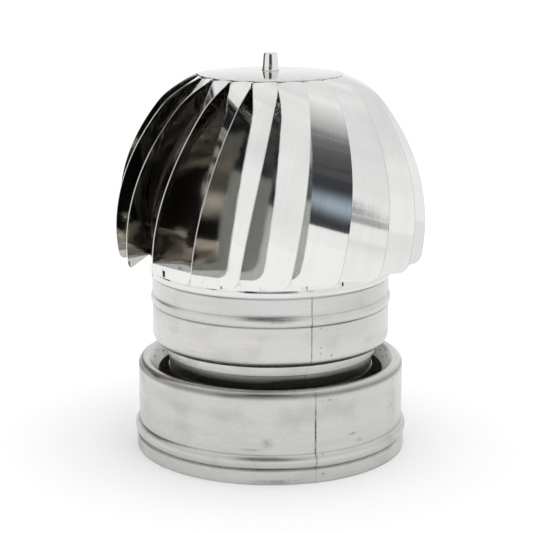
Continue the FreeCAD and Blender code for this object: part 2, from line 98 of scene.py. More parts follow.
class Finish:
    """A node material, or the surround. node() makes any node from its type, its settings and the values
    or links of its sockets."""

    def __init__(self, name, kind=bpy.data.materials, surface="Principled BSDF"):
        self.material = kind.new(name)
        self.material.use_nodes = True
        self.tree = self.material.node_tree
        self.surface = self.tree.nodes[surface]

    def feed(self, socket, value):
        """Links a shade to a socket, or sets the socket to a plain value."""
        if isinstance(value, Shade):
            self.tree.links.new(value.socket, socket)
        else:
            socket.default_value = value

    def node(self, kind, settings=None, sockets=None, output=0):
        made = self.tree.nodes.new(kind)
        for key, value in (settings or {}).items():
            setattr(made, key, value)
        for key, value in (sockets or {}).items():
            self.feed(made.inputs[key], value)
        return Shade(self, made.outputs[output])

    def set(self, **sockets):
        """Feeds sockets of the surface shader, with _ for each space in a socket's name."""
        for key, value in sockets.items():
            self.feed(self.surface.inputs[key.replace("_", " ")], value)

    def press(self, relief, strength, depth):
        """Presses a relief of this depth into the surface as bump."""
        self.set(Normal=self.node("ShaderNodeBump", None,
                                  {"Strength": strength, "Distance": depth, "Height": relief}))

    def mapped(self, coordinates, **mapping):
        """Coordinates moved, turned or stretched by a Mapping node."""
        return self.node("ShaderNodeMapping", None, {"Vector": coordinates, **mapping})

    def split(self, coordinates):
        """The first two parts of a place."""
        return [self.node("ShaderNodeSeparateXYZ", None, {0: coordinates}, output=part) for part in (0, 1)]

    def mix(self, factor, first, second):
        """The first colour where the factor is 0, and the second where it is 1."""
        return self.node("ShaderNodeMix", {"data_type": "RGBA"},
                         {0: factor, 6: first, 7: second}, output=2)

    def slope(self, value, start, end):
        """0 before the start, 1 past the end and a smooth step between; the end may be the lower."""
        return self.node("ShaderNodeMapRange", {"interpolation_type": "SMOOTHSTEP"},
                         {"Value": value, "From Min": start, "From Max": end})

    def near(self, value, place, reach):
        """1 at a place, falling smoothly to 0 at this reach from it."""
        away = self.node("ShaderNodeMath", {"operation": "ABSOLUTE"}, {0: value - place})
        return self.slope(away, reach, 0.0)

    def streaks(self, coordinates, along, across, detail=3.0):
        """Noise drawn out in one direction of the sheet, as a brushed grain is, in waves per metre."""
        return self.node("ShaderNodeTexNoise", {"noise_dimensions": "2D"},
                         {"Vector": self.mapped(coordinates, Scale=(along, across, 1.0)),
                          "Scale": 1.0, "Detail": detail})

    def clouds(self, coordinates, scale, low, high, detail=4.0):
        """Soft patches from 0 to 1, with the noise between low and high spread over that range."""
        patches = self.node("ShaderNodeTexNoise", None,
                            {"Vector": coordinates, "Scale": scale, "Detail": detail})
        return self.slope(patches, low, high)


GRIME_AND_SHADE = (0.05, 0.047, 0.043, 1)
PAINTED_SHEEN_PALE = (0.9, 0.92, 0.91, 1)
SATIN_RELIEF = 0.12 * MM
SATIN_BUMP = 0.35


def satin_sheet(name, bright, stained, seed, shade_bands, marks, sheen_band=None):
    """Satin stainless sheet: fine grain round the cylinder, cloudy stains, wipes and slanting scratches.
    A painted shade line or band round the sheet is given by its length up the sheet, reach and depth. A
    mark
    is a dark spot: its place round and up the unrolled sheet, both half sizes and depth. A painted
    highlight band, given by its length up the sheet and its reach, is paler and also matt."""
    finish = Finish(name)
    unrolled = finish.node("ShaderNodeUVMap", {"uv_map": "unrolled"})
    shifted = finish.mapped(unrolled, Location=(seed, seed * 0.7, 0.0))
    grain = finish.streaks(shifted, 6.0, 2600.0)
    fine = finish.streaks(shifted, 25.0, 7000.0, 2.0)
    stains = finish.clouds(shifted, 26.0, 0.5, 0.74)
    wipes = finish.clouds(finish.mapped(shifted, Scale=(9.0, 55.0, 1.0)), 1.0, 0.42, 0.72)
    slanted = finish.mapped(shifted, Rotation=(0.0, 0.0, 0.5), Scale=(18.0, 900.0, 1.0))
    scratch = finish.clouds(slanted, 1.0, 0.66, 0.74)
    speckle = finish.clouds(shifted, 160.0, 0.35, 0.65)
    round_sheet, up_sheet = finish.split(unrolled)
    # Real stains, the painted shade lines and bands, and the marks all draw the sheet towards one dark grey
    dirt_and_shade = stains * 0.05
    for place, reach, depth in shade_bands:
        dirt_and_shade = dirt_and_shade + finish.near(up_sheet, place, reach) * (0.6 + wipes * 0.4) * depth
    for along, up, half_width, half_height, depth in marks:
        spot = finish.near(round_sheet, along, half_width) * finish.near(up_sheet, up, half_height)
        dirt_and_shade = dirt_and_shade + spot * (0.4 + speckle * 0.6) * depth
    sheet = finish.mix(stains * 0.22 + wipes * 0.25 + grain * 0.35, bright, stained)
    rough = 0.2 + grain * 0.12 + stains * 0.08 + wipes * 0.06 - scratch * 0.05
    # Painted highlight: the optional band is drawn paler than the sheet, and made matt
    if sheen_band is not None:
        band = finish.near(up_sheet, *sheen_band) ** 0.5
        sheet = finish.mix(band, sheet, PAINTED_SHEEN_PALE)
        rough = rough + band * 0.2
    finish.set(Metallic=1.0, Base_Color=finish.mix(dirt_and_shade, sheet, GRIME_AND_SHADE), Roughness=rough)
    finish.press(grain + fine * 0.5 + scratch * 0.8, SATIN_BUMP, SATIN_RELIEF)
    return finish.material


def arc(centre, radius, start, stop, steps):
    """Points of an arc in the half section, from one angle to another in degrees."""
    angles = np.radians(np.linspace(start, stop, steps))
    return np.stack([centre[0] + radius * np.cos(angles), centre[1] + radius * np.sin(angles)], axis=1)


def bead(radius, low, height, rise, steps=13):
    """A rolled bead: an arc that stands `rise` out of a wall between two heights."""
    curve = (height * height / 4 + rise * rise) / (2 * rise)
    half = math.degrees(math.asin(height / 2 / curve))
    return arc((radius + rise - curve, low + height / 2), curve, -half, half, steps)


LONGEST_STEP = 4 * MM


def run(*stretches):
    """One outline from points and arcs, with long straight stretches divided evenly."""
    points = np.concatenate([np.atleast_2d(np.asarray(stretch, float)) for stretch in stretches])
    rows = [points[:1]]
    for start, end in zip(points[:-1], points[1:]):
        count = max(1, int(np.hypot(*(end - start)) / LONGEST_STEP))
        rows.append(start + (end - start) * np.linspace(0, 1, count + 1)[1:, None])
    return np.concatenate(rows)


def length_up(face, height):
    """Length along an outline from its foot to a height on its way up."""
    top = np.argmax(face[:, 1])
    length = np.append(0, np.cumsum(np.hypot(*np.diff(face, axis=0).T)))
    return float(np.interp(height, face[:top + 1, 1], length[:top + 1]))


def marks_on(face, *places):
    """Marks of a satin sheet from degrees to the right of the front, height, half sizes and depth."""
    widest = face[:, 0].max()
    return [(math.radians(angle) * widest, length_up(face, height), width, tall, depth)
            for angle, height, width, tall, depth in places]


def sheet_section(face, gauge):
    """A closed section: the outer face, and the same line moved in by the gauge square to itself."""
    ahead = np.gradient(face, axis=0)
    ahead /= np.linalg.norm(ahead, axis=1)[:, None]
    inner = face + gauge * np.stack([-ahead[:, 1], ahead[:, 0]], axis=1)
    return np.concatenate([face, inner[::-1]])


SAME_POINT = 1e-7
SHARP_EDGE = math.radians(38)


def add_grids(name, *grids, wrap=(True, True)):
    """One mesh from grids of points, closed round each direction that wraps and at poles. Each grid comes
    with two rows of lengths, along its lines and across them, which give its unrolled place."""
    points, corners, places = [], [], []
    steps = ((0, 0), (1, 0), (1, 1), (0, 1))
    for grid, along, across in grids:
        rows, columns = grid.shape[:2]
        last_row = rows if wrap[0] else rows - 1
        last_column = columns if wrap[1] else columns - 1
        i, j = np.meshgrid(np.arange(last_row), np.arange(last_column), indexing="ij")
        first = sum(len(part) for part in points)
        corner = [first + ((i + a) % rows) * columns + (j + b) % columns for a, b in steps]
        place = [np.stack([along[i + a], across[j + b]], axis=-1) for a, b in steps]
        points.append(grid.reshape(-1, 3))
        corners.append(np.stack(corner, axis=-1).reshape(-1, 4))
        places.append(np.stack(place, axis=2).reshape(-1))
    mesh = bpy.data.meshes.new(name)
    mesh.from_pydata(np.concatenate(points).tolist(), [], np.concatenate(corners).tolist())
    layer = mesh.uv_layers.new(name="unrolled")
    layer.uv.foreach_set("vector", np.concatenate(places).astype(np.float32))
    merged = bmesh.new()
    merged.from_mesh(mesh)
    bmesh.ops.remove_doubles(merged, verts=merged.verts, dist=SAME_POINT)
    merged.to_mesh(mesh)
    merged.free()
    mesh.polygons.foreach_set("use_smooth", np.ones(len(mesh.polygons), bool))
    mesh.set_sharp_from_angle(angle=SHARP_EDGE)
    piece = bpy.data.objects.new(name, mesh)
    bpy.context.scene.collection.objects.link(piece)
    return piece


def sheet_wave(angle, height, amount, seed):
    """Slight waviness of rolled sheet: a few slow sines round and up the wall."""
    return amount * (np.sin(3 * angle + seed) * 0.5 + np.sin(7 * angle - 2.1 * seed + height * 60) * 0.3
                     + np.sin(13 * angle + seed * 3.3 - height * 90) * 0.2)


SEAM_STEP = 0.55 * MM
SEAM_RUN = math.radians(22)
SEAM_EDGE = 1e-4


def lap(angle, seam):
    """The step of a lap seam at one angle, fading out over the overlap behind it."""
    behind = (angle - seam) % (2 * math.pi)
    return SEAM_STEP * np.clip(1 - behind / SEAM_RUN, 0, 1)


def turned(name, section, columns, seam=None, wave=0.0, seed=0.0):
    """A section swept round the axis from the back; angle 0 is the front and grows to the right. The
    seam's step comes between two columns that stand close together."""
    angles = np.linspace(-math.pi, math.pi, columns, endpoint=False)
    if seam is not None:
        angles = np.sort(np.append(angles, [seam, seam - SEAM_EDGE]))
    a, r = np.meshgrid(angles, section[:, 0], indexing="ij")
    z = np.broadcast_to(section[:, 1], r.shape)
    r = r + sheet_wave(a, z, wave, seed)
    if seam is not None:
        r = r + lap(a, seam)
    points = np.stack([r * np.sin(a), -r * np.cos(a), z], axis=-1)
    radius = section[:, 0].max()
    length = np.append(0, np.cumsum(np.hypot(*np.diff(section, axis=0).T)))
    length = np.append(length, length[-1] + np.hypot(*(section[0] - section[-1])))
    return add_grids(name, (points, np.append(angles, math.pi) * radius, length))


def dress(piece, material, body, slot, *nodes):
    """Gives a new piece its finish, its body and the solids that it stands for. The slot is not used."""
    piece.data.materials.append(material)
    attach(piece, body)
    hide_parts(*nodes)


SHELL_GAUGE = 0.8 * MM
CASING_RADIUS = 130.0 * MM
LIP_RADIUS = 132.3 * MM
LIP_HEIGHT = 12.6 * MM
CASING_BEAD_LOW = 14.0 * MM
CASING_BEAD_HEIGHT = 14.0 * MM
CASING_BEAD_RISE = 3.9 * MM
RIDGE_HEIGHT = 88.6 * MM
RIDGE_BEND = 6.0 * MM
FLANGE_SLOPE = 48.0
HOLE_RADIUS = 110.5 * MM
CASING_SEAM_DEGREES = 18.5
CASING_WAVE = 0.12 * MM
CASING_COLUMNS = 240

ridge_centre = (CASING_RADIUS - RIDGE_BEND, RIDGE_HEIGHT - RIDGE_BEND)
ridge = arc(ridge_centre, RIDGE_BEND, 0, 90 + FLANGE_SLOPE, 17)
flange_drop = (ridge[-1, 0] - HOLE_RADIUS) * math.tan(math.radians(FLANGE_SLOPE))
casing_face = run(
    (LIP_RADIUS, 0),
    (LIP_RADIUS, LIP_HEIGHT),
    bead(CASING_RADIUS, CASING_BEAD_LOW, CASING_BEAD_HEIGHT, CASING_BEAD_RISE),
    ridge,
    (HOLE_RADIUS, ridge[-1, 1] - flange_drop))
ridge_length = length_up(casing_face, RIDGE_HEIGHT)
# Painted shade: dark bands on the shoulder below the ridge, at the lower and upper edges of the bead,
# across the bead's upper part and at the foot of the lip
casing_shade_bands = [
    (ridge_length - 7.6 * MM, 4.6 * MM, 0.95),
    (length_up(casing_face, CASING_BEAD_LOW), 1.5 * MM, 0.6),
    (length_up(casing_face, CASING_BEAD_LOW + CASING_BEAD_HEIGHT), 1.4 * MM, 0.4),
    (length_up(casing_face, CASING_BEAD_LOW + 0.75 * CASING_BEAD_HEIGHT), 3.0 * MM, 0.22),
    (0.0, 2.0 * MM, 0.35)]

# Smudges on the wall, weld spots right of the seam, dark patches above the bead and on the lip, and the
# seam's dark line
casing_marks = marks_on(
    casing_face,
    (-1.7, 39 * MM, 9 * MM, 7 * MM, 0.4),
    (-8, 33 * MM, 14 * MM, 2 * MM, 0.4),
    (-20, 62 * MM, 22 * MM, 14 * MM, 0.14),
    (24.6, 78 * MM, 3 * MM, 1.2 * MM, 0.9),
    (21.2, 78.5 * MM, 1.6 * MM, 1.6 * MM, 0.7),
    (21.4, 27 * MM, 1.6 * MM, 1.6 * MM, 0.8),
    (21.4, 8 * MM, 1.8 * MM, 1.8 * MM, 0.8),
    (36, 41 * MM, 8 * MM, 2.2 * MM, 0.6),
    (40, 33 * MM, 4 * MM, 3 * MM, 0.5),
    (64, 52 * MM, 18 * MM, 24 * MM, 0.22),
    (-58, 86 * MM, 14 * MM, 2.5 * MM, 0.45),
    (-66, 50 * MM, 16 * MM, 26 * MM, 0.14),
    (-76, 7 * MM, 26 * MM, 6 * MM, 0.6),
    (1, 3 * MM, 34 * MM, 3.4 * MM, 0.5),
    (CASING_SEAM_DEGREES, 46 * MM, 1.5 * MM, 48 * MM, 0.95))

# Short dashes on the flange: degrees to the right of the front, how far in and half width in millimetres
DASHES = ((96, 1, 3.4), (102, -2, 3.0), (107, 2, 3.2), (99, 5, 2.8), (112, 4, 3.4),
          (-103, -1, 5.0), (-96, 2, 6.0), (-109, 4, 5.0))
DASH_HALF_HEIGHT, DASH_DEPTH = 1.3 * MM, 1.3
DASHES_IN = 9 * MM
for angle, further_in, width in DASHES:
    round_flange = math.radians(angle) * casing_face[:, 0].max()
    up_flange = ridge_length + DASHES_IN + further_in * MM
    casing_marks.append((round_flange, up_flange, width * MM, DASH_HALF_HEIGHT, DASH_DEPTH))

CASING_BRIGHT, CASING_STAINED = (0.65, 0.647, 0.63, 1), (0.44, 0.435, 0.42, 1)
# Painted highlight: a paler, matt band round the flange inside the ridge
flange_sheen_band = (ridge_length + 12 * MM, 9 * MM)
casing_finish = satin_sheet("satin_casing", CASING_BRIGHT, CASING_STAINED, 3.0,
                            casing_shade_bands, casing_marks, flange_sheen_band)
casing = turned("casing_shell", sheet_section(casing_face, SHELL_GAUGE), CASING_COLUMNS,
                math.radians(CASING_SEAM_DEGREES), CASING_WAVE, 1.0)
dress(casing, casing_finish, "base", "satin_stainless", "base_shell")


# Flue liner
# The plain inner tube of stainless sheet, expanded below into a socket; its rim shows inside the hole.

LINER_RADIUS = 100.5 * MM
LINER_LOW, LINER_HIGH = 30.0 * MM, 81.0 * MM
SOCKET_HIGH = 58.0 * MM
SOCKET_EXPANSION = 0.6 * MM
LINER_BRIGHT, LINER_STAINED = (0.42, 0.41, 0.4, 1), (0.28, 0.27, 0.26, 1)
LINER_COLUMNS = 180
liner_face = run(
    (LINER_RADIUS + SOCKET_EXPANSION, LINER_LOW),
    (LINER_RADIUS + SOCKET_EXPANSION, SOCKET_HIGH),
    (LINER_RADIUS, SOCKET_HIGH + 2 * SOCKET_EXPANSION),
    (LINER_RADIUS, LINER_HIGH))
liner_finish = satin_sheet("satin_liner", LINER_BRIGHT, LINER_STAINED, 8.0, [], [])
liner = turned("liner_tube", sheet_section(liner_face, SHELL_GAUGE), LINER_COLUMNS)
dress(liner, liner_finish, "base", "satin_stainless", "flue_liner")


# Neck
# A rolled and lap-seamed collar of satin sheet: spigot, band, rounded shoulder, one bead, and a plain top
# that stands inside the head's lower ring.

NECK_RADIUS = 115.6 * MM
NECK_HIGH = 193.0 * MM
SPIGOT_RADIUS = LINER_RADIUS - SHELL_GAUGE - 0.05 * MM
SPIGOT_LOW = 62.0 * MM
BAND_RADIUS = 103.2 * MM
BAND_LOW, BAND_STEP, BAND_HIGH = 94.0 * MM, 1.5 * MM, 105.0 * MM
NECK_BEND = 10.0 * MM
NECK_BEAD_LOW, NECK_BEAD_HEIGHT, NECK_BEAD_RISE = 145.0 * MM, 10.0 * MM, 1.6 * MM
NECK_SEAM_DEGREES = 19.0
NECK_WAVE = 0.08 * MM
NECK_COLUMNS = 240
NECK_BRIGHT, NECK_STAINED = (0.68, 0.675, 0.66, 1), (0.49, 0.485, 0.47, 1)
neck_face = run(
    (SPIGOT_RADIUS, SPIGOT_LOW),
    (SPIGOT_RADIUS, BAND_LOW),
    (BAND_RADIUS, BAND_LOW + BAND_STEP),
    (BAND_RADIUS, BAND_HIGH),
    arc((NECK_RADIUS - NECK_BEND, BAND_HIGH + NECK_BEND), NECK_BEND, -90, 0, 13),
    bead(NECK_RADIUS, NECK_BEAD_LOW, NECK_BEAD_HEIGHT, NECK_BEAD_RISE),
    (NECK_RADIUS, NECK_HIGH))

# Painted shade: the dark spigot down in the hole, dark lines at the edges of the band and of the bead, and
# the shadow line under the head's ring
neck_shade_bands = [
    (length_up(neck_face, 80 * MM), 18 * MM, 2.6),
    (length_up(neck_face, BAND_LOW + BAND_STEP), 1.1 * MM, 0.7),
    (length_up(neck_face, BAND_HIGH), 1.2 * MM, 0.3),
    (length_up(neck_face, NECK_BEAD_LOW), 1.7 * MM, 1.0),
    (length_up(neck_face, NECK_BEAD_LOW + NECK_BEAD_HEIGHT), 1.0 * MM, 0.35),
    (length_up(neck_face, 172.0 * MM), 1.6 * MM, 0.75)]

# Weld spots right of the seam, smudges, thin dark lines at the shoulder, a painted dark reflection across
# the front of the bead, and the seam's dark line below and above the bead
neck_marks = marks_on(
    neck_face,
    (23.4, 142.5 * MM, 1.1 * MM, 1.1 * MM, 0.9),
    (23.4, 124 * MM, 1.3 * MM, 1.3 * MM, 0.9),
    (23.4, 118.5 * MM, 1.3 * MM, 1.3 * MM, 0.9),
    (29.0, 115.5 * MM, 1.6 * MM, 1.6 * MM, 1.3),
    (8.0, 111 * MM, 30 * MM, 1.2 * MM, 0.35),
    (-40, 116 * MM, 12 * MM, 1.6 * MM, 0.3),
    # Painted dark reflection across the front of the bead
    (3.0, 151.5 * MM, 26 * MM, 3.4 * MM, 0.5),
    (-52, 135 * MM, 16 * MM, 14 * MM, 0.12),
    (48, 160 * MM, 18 * MM, 12 * MM, 0.14),
    (NECK_SEAM_DEGREES, 130 * MM, 1.1 * MM, 34 * MM, 0.8),
    (NECK_SEAM_DEGREES, 164 * MM, 1.0 * MM, 16 * MM, 0.6))
neck_finish = satin_sheet("satin_neck", NECK_BRIGHT, NECK_STAINED, 5.0, neck_shade_bands, neck_marks)
neck = turned("neck_sheet", sheet_section(neck_face, SHELL_GAUGE), NECK_COLUMNS,
              math.radians(NECK_SEAM_DEGREES), NECK_WAVE, 2.0)
dress(neck, neck_finish, "base", "satin_stainless", "neck_collar")


# Bridge, bearing housing, spacers and bearings
# Bent strap, turned tube and ground rings hidden inside the neck. They keep their solids and get a bare
# steel finish by their slot, and so do the spindle and what holds it.

def bare_steel(name, colour, rough):
    """Bare machined steel: even grey with cloudy roughness."""
    finish = Finish(name)
    place = finish.node("ShaderNodeTexCoord", output="Object")
    patches = finish.clouds(place, 90.0, 0.35, 0.7)
    dark = tuple(0.75 * part for part in colour[:3]) + (1.0,)
    finish.set(Metallic=1.0, Base_Color=finish.mix(patches, colour, dark), Roughness=rough + patches * 0.12)
    return finish.material


steel_of_slot = {
    "plain_steel": bare_steel("bare_steel", (0.5, 0.5, 0.49, 1), 0.34),
    "bearing_steel": bare_steel("ground_steel", (0.6, 0.6, 0.61, 1), 0.16)}
record_slots = {row["node"]: row["material_slot"] for row in frame["record"]["subparts"]}
for node_name, solid in frame["nodes"].items():
    steel = steel_of_slot.get(record_slots[node_name])
    if steel is not None:
        solid.data.materials.clear()
        solid.data.materials.append(steel)


# Lower ring of the head
# A polished band that the blade feet are spot-welded to, with a rounded lower edge. It is rolled from
# strip and turns round the neck with a small gap.

WELD_REACH = 2.2 * MM
WELD_GREY = (0.3, 0.29, 0.28, 1)
CUT_EDGE_REACH = 1.0 * MM
CUT_EDGE_GREY = (0.4, 0.4, 0.39, 1)
# Painted shade: the darker grey of the inner faces of polished sheet
INNER_SHADE_GREY = (0.56, 0.56, 0.54, 1)
POLISH_RELIEF = 0.05 * MM
POLISH_BUMP = 0.25


def polished_sheet(name, seed, bright, inside, first_weld, second_weld):
    """Mirror-polished sheet: brushed grain along the strip, wiped haze and fine scores on the outer face,
    and a plain smooth inner face, painted a darker grey as shade, from the place across the strip where the
    inside begins. The welds give a pitch and a place, along the strip and across it, for the dull spots of
    spot welds."""
    finish = Finish(name)
    unrolled = finish.node("ShaderNodeUVMap", {"uv_map": "unrolled"})
    shifted = finish.mapped(unrolled, Location=(seed, seed * 0.3, 0.0))
    grain = finish.streaks(shifted, 7.0, 1500.0)
    broad = finish.streaks(shifted, 3.0, 160.0, 2.0)
    haze = finish.clouds(shifted, 14.0, 0.45, 0.75)
    slanted = finish.mapped(shifted, Rotation=(0.0, 0.0, 0.9), Scale=(12.0, 700.0, 1.0))
    scores = finish.clouds(slanted, 1.0, 0.68, 0.76)
    along, across = finish.split(unrolled)
    across = across % second_weld[0]
    weld = finish.near(along % first_weld[0], first_weld[1], WELD_REACH)
    weld = weld * finish.near(across, second_weld[1], WELD_REACH)
    plain = across > inside
    dull = tuple(0.84 * part for part in bright[:3]) + (1.0,)
    face = finish.mix(haze * 0.4 + broad * 0.5, bright, dull)
    face = finish.mix(finish.near(across, 0.0, CUT_EDGE_REACH) * 0.6, face, CUT_EDGE_GREY)
    face = finish.mix(weld * 0.8, face, WELD_GREY)
    rough = 0.03 + haze * 0.04 + grain * 0.05 + scores * 0.1 + weld * 0.3
    # Painted shade: the inner face is drawn a darker grey than the outer face
    finish.set(Metallic=1.0, Base_Color=finish.mix(plain, face, INNER_SHADE_GREY),
               Roughness=rough * (1 - plain * 0.6))
    relief = grain + broad * 2.0 + scores * 0.5 - weld * 3.0
    finish.press(relief * (1 - plain * 0.85), POLISH_BUMP, POLISH_RELIEF)
    return finish.material


NO_WELDS = (1.0, 2.0)
RING_RADIUS = 117.4 * MM
RING_LOW = 173.3 * MM
RING_BAND_HEIGHT, RING_BAND_RISE = 6.7 * MM, 0.8 * MM
RING_HIGH = 192.5 * MM
RING_WAVE = 0.05 * MM
RING_COLUMNS = 240
RING_BRIGHT = (0.8, 0.8, 0.79, 1)
ring_face = run(bead(RING_RADIUS, RING_LOW, RING_BAND_HEIGHT, RING_BAND_RISE, 9), (RING_RADIUS, RING_HIGH))
ring_section = np.concatenate([ring_face, run((RING_RADIUS - SHELL_GAUGE, RING_HIGH),
                                              (RING_RADIUS - SHELL_GAUGE, RING_LOW))])
ring_finish = polished_sheet("polished_ring", 2.0, RING_BRIGHT, length_up(ring_face, RING_HIGH),
                             NO_WELDS, NO_WELDS)
ring = turned("ring_band", ring_section, RING_COLUMNS, None, RING_WAVE, 4.0)
dress(ring, ring_finish, "rotor", "polished_stainless", "lower_ring")


# Louvre blades
# Strips of mirror-polished sheet, bent along parallel lines that fall towards the leading edge. The foot
# lies on the lower ring, the leading edge stands out and the top end is flush with the disc. Each was set
# by hand.

BLADE_COUNT = 20
BLADE_PHASE = math.radians(5.8)
BLADE_GAUGE = 0.6 * MM
BLADE_RADIUS = RING_RADIUS + BLADE_GAUGE
BLADE_BRIGHT = (0.84, 0.84, 0.83, 1)
FOOT_LOW = RING_LOW + RING_BAND_HEIGHT + 0.3 * MM
FOOT_HALF = RING_RADIUS * math.tan(math.pi / BLADE_COUNT) - 3.0 * MM
RIM_Z = RING_HIGH + 172.2 * MM
BEND_FALL = math.tan(math.radians(16.7))
CURVE_START = RING_HIGH + 33.4 * MM
LOWER_CURVE, LOWER_TURN = 224.1 * MM, math.radians(37.8)
UPPER_CURVE = 51.5 * MM
WIDEST_Z, WIDEST_REACH = RING_HIGH + 69.5 * MM, 97.4 * MM
EDGE_LOWER_CURVE, EDGE_LOWER_TURN = 270.0 * MM, 14.0
CORNER_RADIUS = 12.0 * MM
EDGE_UPPER_CURVE, EDGE_UPPER_TURN = 199.0 * MM, 23.1
EDGE_TIP_CURVE, EDGE_TIP_TURN = 45.0 * MM, 68.0
TIP_WIDTH = 16.4 * MM
DISC_RADIUS = 69.5 * MM
TAB_LENGTH, TAB_WIDTH = 8.0 * MM, 10.0 * MM
INNER_EDGE_LOW = RING_HIGH + 8.0 * MM
EDGE_STEPS, CORNER_STEPS, TIP_STEPS = 40, 16, 24
CORNER_ROWS, MIDDLE_ROWS, COLUMNS = 14, 84, 24
SWAY, RIPPLE_LEAST, RIPPLE_MOST = 0.8, 0.1, 0.3

# Places on the unrolled strip: its outer face, the shift to its inner face and to the next blade, and where
# the inside begins and the foot's weld lies
STRIP_WIDTH = 90.0 * MM
INNER_SHIFT = 1.5 * STRIP_WIDTH
BLADE_SHIFT = 370.0 * MM
INSIDE_FROM = STRIP_WIDTH * 1.2
FOOT_WELD_UP, FOOT_WELD_ACROSS = 5.5 * MM, STRIP_WIDTH * 0.6


def before(point, radius, turn):
    """Centre of an arc of this radius that passes a point at this angle."""
    return point - radius * np.array([math.cos(math.radians(turn)), math.sin(math.radians(turn))])


# Leading edge of the strip seen square to its chord: reach along the chord against height
edge_low = arc((WIDEST_REACH - EDGE_LOWER_CURVE, WIDEST_Z), EDGE_LOWER_CURVE,
               -EDGE_LOWER_TURN, 0, EDGE_STEPS)
edge_corner = arc(before(edge_low[0], CORNER_RADIUS, -EDGE_LOWER_TURN), CORNER_RADIUS,
                  -90, -EDGE_LOWER_TURN, CORNER_STEPS)
edge_high = arc((WIDEST_REACH - EDGE_UPPER_CURVE, WIDEST_Z), EDGE_UPPER_CURVE,
                0, EDGE_UPPER_TURN, EDGE_STEPS)
edge_tip = arc(before(edge_high[-1], EDGE_TIP_CURVE, EDGE_UPPER_TURN), EDGE_TIP_CURVE,
               EDGE_UPPER_TURN, EDGE_TIP_TURN, TIP_STEPS)
leading_edge = np.concatenate([edge_corner, edge_low[1:], edge_high[1:], edge_tip[1:]])
BLADE_LOW = leading_edge[0, 1]


def bent_sheet(place):
    """Distance from the axis and turn from upright at a place up the section: r = r0 - a (1 - cos t) with
    sin t = (place - start) / a on the lower curve, and the same on from there with the upper radius."""
    lower_sine = math.sin(LOWER_TURN)
    bend = CURVE_START + LOWER_CURVE * lower_sine
    turn_low = np.arcsin(np.clip((place - CURVE_START) / LOWER_CURVE, 0, lower_sine))
    turn_high = np.arcsin(np.clip((place - bend) / UPPER_CURVE + lower_sine, lower_sine, 1))
    r = (BLADE_RADIUS - LOWER_CURVE * (1 - np.cos(turn_low))
         - UPPER_CURVE * (math.cos(LOWER_TURN) - np.cos(turn_high)))
    return r, np.where(place > bend, turn_high, turn_low)


def strip_faces(chord, height, flex):
    """Outer and inner face at places along the chord and heights: the section is read at height plus the
    fall of the bend lines times the chord, and flex moves the sheet square to itself."""
    r, turn = bent_sheet(height + BEND_FALL * chord)
    square = np.stack([BEND_FALL * np.sin(turn), -np.cos(turn), np.sin(turn)], axis=-1)
    square /= np.linalg.norm(square, axis=-1, keepdims=True)
    outer = np.stack([chord, -r, height], axis=-1) + flex[..., None] * square
    return outer, outer - BLADE_GAUGE * square


def closed_strip(outer, inner, heights, offset):
    """A sheet closed round its section and, by a row along its middle, at both ends; with its unrolled
    place."""
    rounded = np.concatenate([outer, inner[:, ::-1]], axis=1)
    ends = []
    for row in (0, -1):
        middle = (outer[row] + inner[row]) / 2
        ends.append(np.concatenate([middle, middle[::-1]])[None])
    strip = np.concatenate([ends[0], rounded, ends[1]])
    across = np.linspace(0, STRIP_WIDTH, outer.shape[1]) + offset
    round_strip = np.concatenate([across, across[::-1] + INNER_SHIFT, across[:1]])
    return strip, np.concatenate([heights[:1], heights, heights[-1:]]), round_strip


def spin(points, angle):
    """Points turned about the spindle."""
    x, y, z = np.moveaxis(points, -1, 0)
    cosine, sine = math.cos(angle), math.sin(angle)
    return np.stack([x * cosine - y * sine, x * sine + y * cosine, z], axis=-1)


corner_rows = 1 - np.cos(np.linspace(0, math.pi / 2, CORNER_ROWS))
heights = np.concatenate([BLADE_LOW + (edge_low[0, 1] - BLADE_LOW) * corner_rows,
                          np.linspace(edge_low[0, 1], edge_high[-1, 1], MIDDLE_ROWS)[1:],
                          edge_tip[1:, 1], [RIM_Z]])
reach = np.interp(heights, leading_edge[:, 1], leading_edge[:, 0])
climb = np.clip((heights - INNER_EDGE_LOW) / (RIM_Z - INNER_EDGE_LOW), 0, 1)
tip_start = edge_tip[-1, 0] - TIP_WIDTH
trailing = -FOOT_HALF + (tip_start + FOOT_HALF) * climb
across = np.linspace(1, 0, COLUMNS)
chord = trailing[:, None] + (reach - trailing)[:, None] * across
foot_chord = np.linspace(FOOT_HALF, -FOOT_HALF, COLUMNS) * np.ones((2, 1))
foot_heights = np.array([FOOT_LOW, BLADE_LOW])
along = (heights[:, None] - BLADE_LOW) / (RIM_Z - BLADE_LOW)

# The tab: the tip's rim line, and the same line drawn in towards the spindle
tab_chord = tip_start + np.linspace(TAB_WIDTH, 0, COLUMNS)
tab_radius = bent_sheet(RIM_Z + BEND_FALL * tab_chord)[0]
tab_rim = np.stack([tab_chord, -tab_radius, 0 * tab_chord + RIM_Z], axis=-1)
drawn_in = 1 - TAB_LENGTH / DISC_RADIUS
tab_top = np.stack([tab_rim, tab_rim * [drawn_in, drawn_in, 1]])
tab = (tab_top, tab_top - [0, 0, BLADE_GAUGE])
tab_lengths = np.array([RIM_Z, RIM_Z + TAB_LENGTH])

